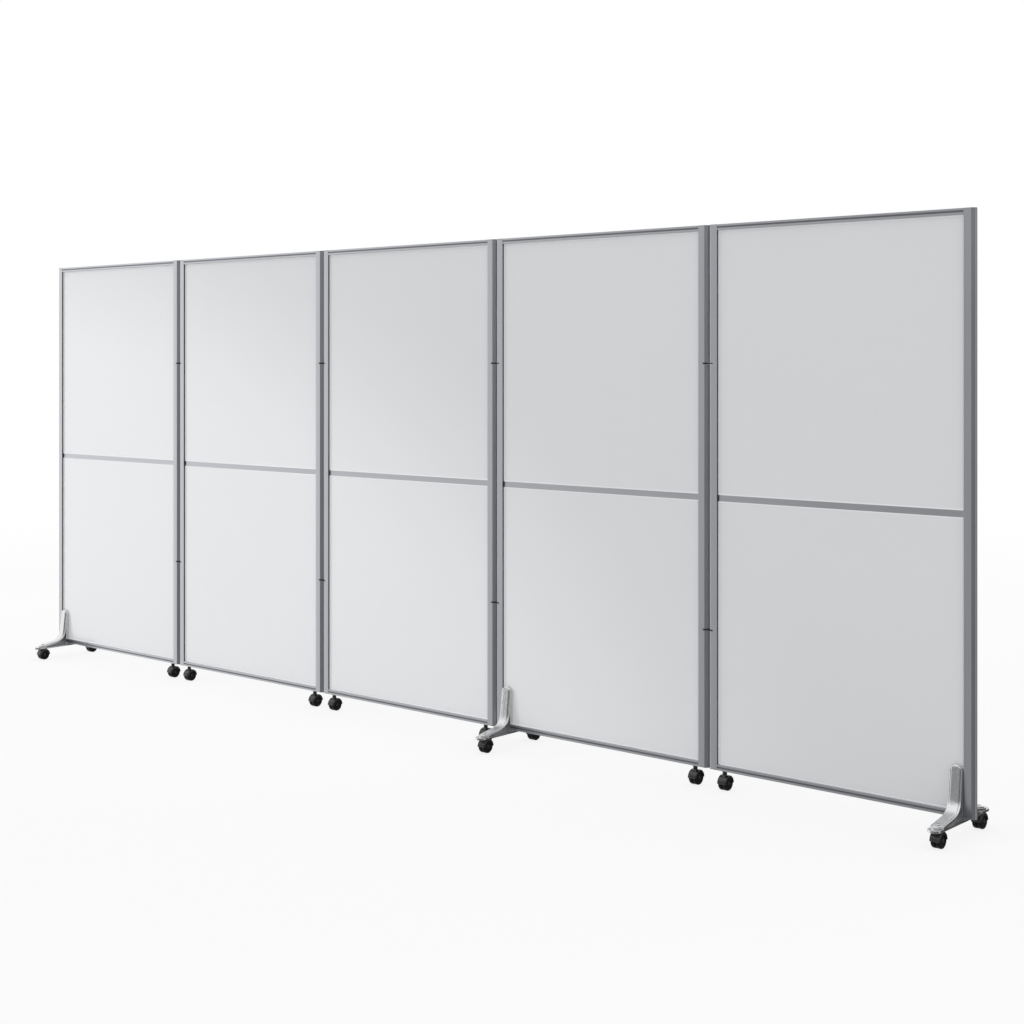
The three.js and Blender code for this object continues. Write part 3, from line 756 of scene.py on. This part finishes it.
def foot_line(end_reach, count=90):
    """Points down the upright, round the bend and out along the leg, even in length, with the
    outward normal and the distance from both ends. The bend is a parabola between the two lines."""
    top = np.array([TOP_REACH, FOOT_TOP])
    slope = (BEND[1] - FOOT_SOLE - LEG_END_HEIGHT) / (STEM_REACH - BEND[0])
    end = np.array([end_reach, BEND[1] - slope * (end_reach - BEND[0])])
    lead = BEND + (top - BEND) * BEND_RUN / np.linalg.norm(top - BEND)
    leave = BEND + (end - BEND) * BEND_RUN / np.linalg.norm(end - BEND)
    t = np.linspace(0, 1, 40)[:, None]
    bend = (1 - t) ** 2 * lead + 2 * t * (1 - t) * BEND + t**2 * leave
    rough = np.concatenate([top + (lead - top) * t, bend, leave + (end - leave) * t])
    rough = rough[np.concatenate([[True], np.linalg.norm(np.diff(rough, axis=0), axis=1) > 1e-9])]
    length = np.concatenate([[0], np.cumsum(np.linalg.norm(np.diff(rough, axis=0), axis=1))])
    even = (1 - np.cos(np.linspace(0, np.pi, count))) / 2
    place = (0.75 * even + 0.25 * np.linspace(0, 1, count)) * length[-1]
    points = np.stack([np.interp(place, length, rough[:, k]) for k in (0, 1)], 1)
    step = np.gradient(points, axis=0)
    normal = np.stack([-step[:, 1], step[:, 0]], 1) / np.linalg.norm(step, axis=1, keepdims=True)
    return points, normal, place, length[-1] - place


print(f"foot: sole at {FOOT_SOLE / MM:.1f} mm, top at {FOOT_TOP / MM:.0f} mm, reach {FOOT_REACH / MM:.0f} mm")


# %% Crest and rim carried along that line
def plate_grid(x, side, half, inset, depth, ease, roll_run, roll_drop):
    """A plate on the foot's line. Half width = sqrt(r^2 - (r - d)^2) within r of either end, which
    makes the ends round; its upper edges are quarter circles, and it sinks by a roll at the ends."""
    line, normal, from_top, from_end = foot_line(STEM_REACH + half)
    ends = np.minimum(from_top, from_end)
    width = np.where(ends < half, np.sqrt(np.maximum(half**2 - np.maximum(half - ends, 0) ** 2, 0)), half)
    roll = roll_drop * (1 - np.sqrt(np.maximum(1 - np.maximum(1 - ends / roll_run, 0) ** 2, 0)))
    t = np.sin(np.linspace(-np.pi / 2, np.pi / 2, 17))
    across = width[:, None] * t
    corner = np.minimum(ease, width)[:, None]
    past = np.maximum(np.abs(across) - (width[:, None] - corner), 0)
    height = -(corner - np.sqrt(np.maximum(corner**2 - past**2, 0))) - roll[:, None] - inset
    ring_x = np.concatenate([across, width[:, None] * [1.0, -1.0]], 1)
    ring_h = np.concatenate([height, np.full((len(line), 2), -inset - depth)], 1)
    ring_h = np.maximum(ring_h, -inset - depth)
    grid = np.empty((*ring_x.shape, 3))
    grid[..., 0] = x + ring_x
    grid[..., 1] = side * (line[:, :1] + normal[:, :1] * ring_h)
    grid[..., 2] = line[:, 1:] + normal[:, 1:] * ring_h
    return grid


print("crest and rim ready")


# %% Web, wall, sole and tongues
def web_grid(x, side):
    """The web's side view as one outline, carried across its thickness: under the rim's line, and
    straight along the sole and the wall."""
    near, far, low = 15.5 * MM, 126 * MM, FOOT_SOLE + 2 * MM
    line, normal, _, _ = foot_line(STEM_REACH)
    inner = line - normal * 6.5 * MM
    inner = inner[(inner[:, 0] > near + 1.5 * MM) & (inner[:, 0] < far)]
    outline = np.concatenate([inner, [[far, low], [near, low], [near, inner[0, 1]]]])
    return along(0, [x - RIB_HALF, x + RIB_HALF], outline * [side, 1.0])


def wall_grid(x, side):
    """Level rings against the board: from the board's or the rail's face out to a limit that
    follows the upright, as wide as the rim and round at the top."""
    rail_top = STILE_LOW + RAIL_HEIGHT + CLEARANCE
    round_top = FOOT_TOP - 3.0 * MM
    rise = 1 - np.cos(np.linspace(0, np.pi / 2, 12))
    z = np.concatenate([[FOOT_SOLE + 3 * MM, rail_top, rail_top, WALL_STEP],
                        round_top - FOOT_HALF * (1 - np.sin(np.linspace(0, np.pi / 2, 14)))])
    near = np.where(np.arange(len(z)) < 2, FRAME_HALF, BOARD_HALF) + CLEARANCE
    far = np.where(z <= WALL_STEP, 19.8 * MM, 11.5 * MM + 0.105 * (round_top - z))
    past = np.maximum(z - round_top + FOOT_HALF, 0)
    half = np.sqrt(np.maximum(FOOT_HALF**2 - past**2, 0))
    corners = eased([[-1, 0], [1, 0], [1, 1], [-1, 1]], [0.02, 0.02, 0.06, 0.06], 3)
    grid = np.empty((len(z), len(corners), 3))
    grid[..., 0] = x + half[:, None] * corners[:, 0]
    grid[..., 1] = side * (near[:, None] + (far - near)[:, None] * corners[:, 1])
    grid[..., 2] = z[:, None]
    return grid


def stadium(half, reach, count=19):
    """A bar with two round ends, from above: half circles about (0, +-reach)."""
    return np.concatenate([arc((0, reach), half, 0, 180, count), arc((0, -reach), half, 180, 360, count)])


def slab_grid(ring, centre, low, high, ease):
    """An outline stacked in height, drawn in a little at both faces so that its edges are soft."""
    inset = np.array([1.0, 0.3, 0.0, 0.0, 0.3, 1.0]) * ease
    z = np.array([low, low + 0.3 * ease, low + ease, high - ease, high - 0.3 * ease, high])
    size = np.abs(ring).max(0)
    shrink = 1 - inset[:, None] / size[None]
    flat = ring[None] * shrink[:, None]
    grid = np.empty((len(z), len(ring), 3))
    grid[..., 0], grid[..., 1] = centre[0] + flat[..., 0], centre[1] + flat[..., 1]
    grid[..., 2] = z[:, None]
    return grid


def tongue_grid(x, side):
    """The flat tip past the leg: a half stadium, eight millimetres thick."""
    centre = (FOOT_REACH - FOOT_HALF + 121 * MM) / 2
    reach = FOOT_REACH - FOOT_HALF - centre
    tip = arc((0, reach), FOOT_HALF, 0, 180, 25)
    ring = np.concatenate([tip, [[-FOOT_HALF, -reach], [FOOT_HALF, -reach]]])
    grid = slab_grid(ring, (x, 0), FOOT_SOLE, FOOT_SOLE + 8 * MM, 1.2 * MM)
    return grid * [1, side, 1] + [0, side * centre, 0]


def middle_block(x):
    """The thick middle of the sole, under the bottom rail."""
    across, out = FOOT_HALF, 17 * MM
    ring = eased([[-across, -out], [across, -out], [across, out], [-across, out]], 1.0 * MM)
    return slab_grid(ring, (x, 0), FOOT_SOLE + 1 * MM, STILE_LOW - CLEARANCE, 0.8 * MM)


def screw(x, y, z, axis, radius):
    """A button head with a small socket: the profile's dome is 1 - (r / R)^2 over its flat rim."""
    r = np.array([0.0, 0.38, 0.42, 0.6, 0.8, 0.94, 1.0, 1.0, 0.0]) * radius
    height = np.array([-0.1, -0.1, 0.42, 0.36, 0.24, 0.1, 0.0, -0.4, -0.4]) * radius
    return turned(np.stack([r, height], 1), (x, y, z), axis=axis, count=28)


for word in ("left", "middle", "right"):
    node = f"{word}_foot"
    low, high = box_of(node)
    x = (low[0] + high[0]) / 2
    body = next(name for name, nodes in frame["record"]["behaviour"]["bodies"].items() if node in nodes)
    bright, rough = [], []
    for side in (-1, 1):
        crest = plate_grid(x, side, CREST_HALF, inset=0.0, depth=6 * MM, ease=2.0 * MM,
                           roll_run=11 * MM, roll_drop=3.6 * MM)
        rim = plate_grid(x, side, FOOT_HALF, inset=3 * MM, depth=WALL, ease=1.5 * MM,
                         roll_run=6 * MM, roll_drop=1.2 * MM)
        seat = slab_grid(stadium(FOOT_HALF, 0.0), (x, side * STEM_REACH), FOOT_SOLE + 2 * MM,
                         FOOT_SOLE + 12 * MM, 0.6 * MM)
        bright += [crest, rim, wall_grid(x, side), tongue_grid(x, side), seat]
        rough.append(web_grid(x, side))
    sole = stadium(FOOT_HALF, STEM_REACH - 4 * MM)
    bright.append(slab_grid(sole, (x, 0), FOOT_SOLE, FOOT_SOLE + WALL, 1.0 * MM))
    rough.append(middle_block(x))
    # The web and the middle block take the rough finish, whose darker grey is painted shade for these
    # hollows.
    build(f"{node}_casting", [shell(grid) for grid in bright + rough],
          [CASTING] * len(bright) + [SHADED_ROUGH_CASTING] * len(rough), body, node, crease=38.0)
    crest_end = FOOT_SOLE + LEG_END_HEIGHT
    screws = [shell(screw(x, side * STEM_REACH, crest_end + 0.6 * MM, 2, 6.5 * MM)) for side in (-1, 1)]
    for drop in SCREW_DROPS:
        face = TOP_REACH + (BEND[0] - TOP_REACH) * drop / (FOOT_TOP - BEND[1])
        screws.append(shell(screw(x, face + 0.5 * MM, FOOT_TOP - drop, 1, 5.5 * MM)))
    build(f"{node}_screws", screws, BRIGHT_STEEL, body)
print("feet: 3 castings, 12 screws")

# %% [markdown]
# ## Casters
# A hood carries two wheels on one axle, one each side of a web. The hood is a U-section swept half
# way round the axle, so the wheels stay visible through its open sides, and its two lower edges
# flare into small lips. The wheels are turned profiles: round shoulders, a dished face and a hub.

# %% Sizes of a caster
HOOD_RADIUS, HOOD_INNER = 26.4 * MM, 24.9 * MM
HOOD_HALF, HOOD_WALL, SKIRT = 16.5 * MM, 1.5 * MM, 7.0 * MM
WHEEL_RADIUS = 23.5 * MM
TRAIL = 4.0 * MM
WEB_HALF = 1.8 * MM
AXLE_BAR = np.array([[0, -13.5], [3, -13.5], [3, 13.5], [0, 13.5]]) * MM  # radius and place across
print(f"caster: wheel {2 * WHEEL_RADIUS / MM:.0f} mm across, hood {2 * HOOD_HALF / MM:.0f} mm wide")


def hood_grid(axle):
    """The U-section (across, radius) at angles round the axle: y = r cos a, z = r sin a. Near both
    lower edges the outer points flare out by lip * (1 - z / run)^2."""
    wall = HOOD_HALF - HOOD_WALL
    low = HOOD_INNER - SKIRT
    corners = [[-HOOD_HALF, low], [-HOOD_HALF, HOOD_RADIUS], [HOOD_HALF, HOOD_RADIUS], [HOOD_HALF, low],
               [wall, low], [wall, HOOD_INNER], [-wall, HOOD_INNER], [-wall, low]]
    section = eased(corners, np.array([0.5, 4.5, 4.5, 0.5, 0.5, 2.0, 2.0, 0.5]) * MM, 6)
    ends = np.array([0, 2, 5, 9, 14])
    angle = np.radians(np.concatenate([ends, np.linspace(20, 160, 33), 180 - ends[::-1]]))
    radius = np.repeat(section[None, :, 1], len(angle), 0)
    above = radius * np.sin(angle)[:, None]
    outer = radius > HOOD_INNER + 0.4 * HOOD_WALL
    radius = radius + outer * 1.2 * MM * np.maximum(1 - above / (5 * MM), 0) ** 2
    grid = np.empty((*radius.shape, 3))
    grid[..., 0] = axle[0] + section[:, 0]
    grid[..., 1] = axle[1] + radius * np.cos(angle)[:, None]
    grid[..., 2] = axle[2] + radius * np.sin(angle)[:, None]
    return grid


def web_plate_grid(axle):
    """The plate between the wheels: a half disc with a round boss about the axle, carried across."""
    boss = 7.0 * MM
    half = arc((0, 0), HOOD_INNER + 0.5 * MM, 0, 180, 33)
    ring = np.concatenate([half, arc((0, 0), boss, 180, 360, 17)])
    inset = np.array([0.6, 0.0, 0.0, 0.6]) * MM
    grid = along(0, axle[0] + np.array([-1, -0.84, 0.84, 1]) * WEB_HALF, ring)
    grid[..., 1:] *= (1 - inset / HOOD_INNER)[:, None, None]
    grid[..., 1:] += np.array(axle[1:])
    return grid


def neck_grid(stem, axle_height, seat):
    """The neck under the rail or the foot, flared where it grows out of the hood, then the stem."""
    crown = axle_height + HOOD_RADIUS
    profile = [[0, crown - 6 * MM], [11.5 * MM, crown - 3.5 * MM], [9.6 * MM, crown - 0.6 * MM],
               [8.2 * MM, crown - 0.1 * MM]]
    if seat - crown > 4 * MM:
        profile += [[7.6 * MM, crown + 1.5 * MM], [7.5 * MM, crown + 3 * MM], [7.5 * MM, seat - 1.3 * MM],
                    [7.2 * MM, seat - 0.6 * MM]]
    profile += [[6.6 * MM, seat - 0.3 * MM], [5.0 * MM, seat - 0.3 * MM], [5.0 * MM, seat + 10 * MM],
                [4.2 * MM, seat + 11 * MM], [0, seat + 11 * MM]]
    return turned(profile, (stem[0], stem[1], 0), count=36)


def wheel_grid(axle, side):
    """Profile of a wheel as (radius, distance from the caster's middle), turned about the axle:
    hub, dished web, tread with round shoulders, dished outer face and hub again."""
    inner = [[3.1, 2.5], [6.0, 2.5], [6.4, 3.6], [20.1, 3.6], [20.5, 2.3]]
    tread = [[22.4, 2.2], [23.2, 2.7], [23.5, 3.8], [23.5, 11.0], [23.2, 12.6], [22.2, 13.9], [20.8, 14.5]]
    outer = [[19.6, 14.4], [18.9, 13.9], [18.3, 13.1], [9.6, 12.4]]
    hub = [[8.9, 12.8], [8.6, 13.6], [7.8, 14.0], [3.1, 14.0]]
    profile = np.array(inner + tread + outer + hub) * MM
    profile[:, 1] *= side
    return turned(profile, axle, axis=0, count=56)


def hub_cap_grid(axle, side):
    """A shallow dome over the axle's end: 14.0 mm at its rim to 14.7 mm in the middle."""
    profile = np.array([[0.0, 14.7], [2.6, 14.65], [4.6, 14.4], [5.4, 14.05], [5.4, 13.6], [0.0, 13.6]]) * MM
    profile[:, 1] *= side
    return turned(profile, axle, axis=0, count=32)


print("caster shapes ready")

# %% Casters where the CAD has them
for node in sorted(n for n in frame["nodes"] if n.endswith("_wheels")):
    name = node[: -len("_wheels")]
    low, high = box_of(node)
    axle = (low + high) / 2
    axle[2] = WHEEL_RADIUS
    stem = (axle[0], axle[1] - TRAIL)
    seat = FOOT_SOLE if "foot" in name else STILE_LOW
    shells = [shell(hood_grid(axle)), shell(web_plate_grid(axle)), shell(neck_grid(stem, axle[2], seat))]
    build(f"{name}_hood", shells, HOOD_BLACK, f"{name}_swivel", f"{name}_housing",
          crease=36.0)
    pair = [shell(wheel_grid(axle, side), loop=True) for side in (-1, 1)]
    pair += [shell(hub_cap_grid(axle, side)) for side in (-1, 1)]
    pair.append(shell(turned(AXLE_BAR, axle, axis=0, count=20)))
    paint = [TREAD_BLACK, TREAD_BLACK, HOOD_BLACK, HOOD_BLACK, BRIGHT_STEEL]
    build(f"{name}_pair", pair, paint, f"{name}_rolling", node, crease=36.0)
print("casters: 13 hoods, 26 wheels")

# %% [markdown]
# ## Floor, backdrop and light
# The divider stands on a white floor in a white room. The floor is mostly its own white, so that
# it reads as paper, and keeps a soft share of real light for the shadows. The world is white to
# the camera and pale grey to matt surfaces. To metal and gloss it is a studio, bright on the left
# and overhead and dim on the right, because polished metal shows little but its surroundings.


# %% Floor
def floor_finish():
    """Paper mixed with its own white. To the camera the white's share is 0.82 out to 2.4 m and 1
    from 9 m on; to every other ray the floor is paper."""
    material, mix = new_finish("floor_white")
    grain = mix.noise((14.0, 14.0, 14.0), 3.0)
    paper = mix.add("ShaderNodeBsdfDiffuse", None, {
        "Color": mix.blend(grain, (0.93, 0.93, 0.93, 1.0), (0.95, 0.95, 0.95, 1.0))})
    glow = mix.add("ShaderNodeEmission", None, {"Color": (1.0, 1.0, 1.0, 1.0), "Strength": 1.0})
    where = mix.place((1.0, 1.0, 0.0))
    distance = mix.add("ShaderNodeVectorMath", {"operation": "LENGTH"}, {0: where}, 1)
    near = mix.ramp(distance / 12.0, (0.0, 0.82), (0.2, 0.82), (0.75, 1.0))
    seen = mix.add("ShaderNodeLightPath", output=0)
    share = seen * near
    surface = mix.add("ShaderNodeMixShader", None, {0: share, 1: paper, 2: glow})
    mix.add("ShaderNodeOutputMaterial", None, {0: surface})
    return material


FLOOR_HALF = 40.0
corners = np.array([[-1, -1, 0], [1, -1, 0], [1, 1, 0], [-1, 1, 0]]) * FLOOR_HALF
floor_mesh = bpy.data.meshes.new("floor")
floor_mesh.from_pydata(corners.tolist(), [], [[0, 1, 2, 3]])
floor_mesh.materials.append(floor_finish())
floor = bpy.data.objects.new("floor", floor_mesh)
bpy.context.scene.collection.objects.link(floor)
floor.visible_glossy = False
print(f"floor: {2 * FLOOR_HALF:.0f} m square")


# %% World
# Each stop is a place from far right, 0, to far left, 1, and how bright the studio is there.
STUDIO_IN_FRONT = ((0.0, 0.12), (0.07, 0.2), (0.25, 0.19), (0.4, 0.25), (0.475, 0.28), (0.54, 0.32),
                   (0.6, 0.335), (0.715, 0.345), (0.78, 0.45), (0.832, 0.62), (0.87, 0.95), (0.895, 1.15),
                   (0.92, 1.3), (1.0, 1.25))
STUDIO_BEHIND = ((0.0, 0.6), (0.085, 0.6), (0.14, 0.26), (0.2, 0.1), (0.36, 0.1), (0.45, 0.45),
                 (0.55, 0.62), (0.75, 0.8), (1.0, 1.1))
SKY_WHITE = (1.15, 1.15, 1.15, 1.0)
PLAIN_LIGHT = (0.835, 0.835, 0.84, 1.0)


def studio_world():
    """Front and back studios, blended by the direction's Y, dimmed a little below the horizon and
    turning into a white sky above it."""
    world = bpy.data.worlds.new("studio")
    world.use_nodes = True
    bpy.context.scene.world = world
    mix = Finish(world.node_tree)
    way = mix.add("ShaderNodeTexCoord", output=0)
    split = mix.add("ShaderNodeSeparateXYZ", None, {0: way})
    forward = Wire(mix, split.socket.node.outputs[1]) * 0.5 + 0.5
    upward = Wire(mix, split.socket.node.outputs[2]) * 0.5 + 0.5
    leftward = split * -0.5 + 0.5
    back_share = mix.ramp(forward, (0.5, 0.0), (0.62, 1.0))
    around = mix.blend(back_share, mix.ramp(leftward, *STUDIO_IN_FRONT), mix.ramp(leftward, *STUDIO_BEHIND))
    low = mix.ramp(upward, (0.0, 0.95), (0.38, 0.88), (0.5, 1.0), (1.0, 1.0))
    sky = mix.ramp(upward, (0.0, 0.0), (0.56, 0.0), (0.8, 1.0))
    times = {"data_type": "RGBA", "blend_type": "MULTIPLY"}
    dimmed = mix.add("ShaderNodeMix", times, {0: 1.0, 6: around, 7: low}, 2)
    studio = mix.blend(sky, dimmed, SKY_WHITE)
    seen = mix.add("ShaderNodeLightPath", output=0)
    gloss = mix.add("ShaderNodeLightPath", output=3)
    plain = mix.blend(gloss, PLAIN_LIGHT, studio)
    colour = mix.blend(seen, plain, (1.0, 1.0, 1.0, 1.0))
    sky_light = mix.add("ShaderNodeBackground", None, {"Color": colour, "Strength": 1.0})
    mix.add("ShaderNodeOutputWorld", None, {0: sky_light})


studio_world()
print("world ready")


# %% [markdown]
# Two narrow spots stand in one place, far to the left. The key throws shadows and the fill throws
# none, so a foot leaves only a light shadow on its board and on the floor.


# %% Lamps
LAMP_PLACE = np.array([-24.0, -16.7, 7.2])
LAMP_TARGET = np.array([-2.1, 0.0, -0.42])


def spot(name, power, shadow):
    """A narrow soft spot far to the left: tilt = angle of the way back from straight up."""
    data = bpy.data.lights.new(name, "SPOT")
    data.energy, data.use_shadow = power, shadow
    data.shadow_soft_size, data.spot_size, data.spot_blend = 0.4, np.radians(9.6), 0.3
    light = bpy.data.objects.new(name, data)
    light.location = LAMP_PLACE
    back = LAMP_PLACE - LAMP_TARGET
    tilt = np.arctan2(np.hypot(back[0], back[1]), back[2])
    light.rotation_euler = (tilt, 0.0, np.arctan2(back[0], -back[1]))
    light.visible_glossy = False
    bpy.context.scene.collection.objects.link(light)


spot("key", 5400.0, True)
spot("fill", 4800.0, False)
print("lamps: a key spot from the left, and a fill in its place that throws no shadow")
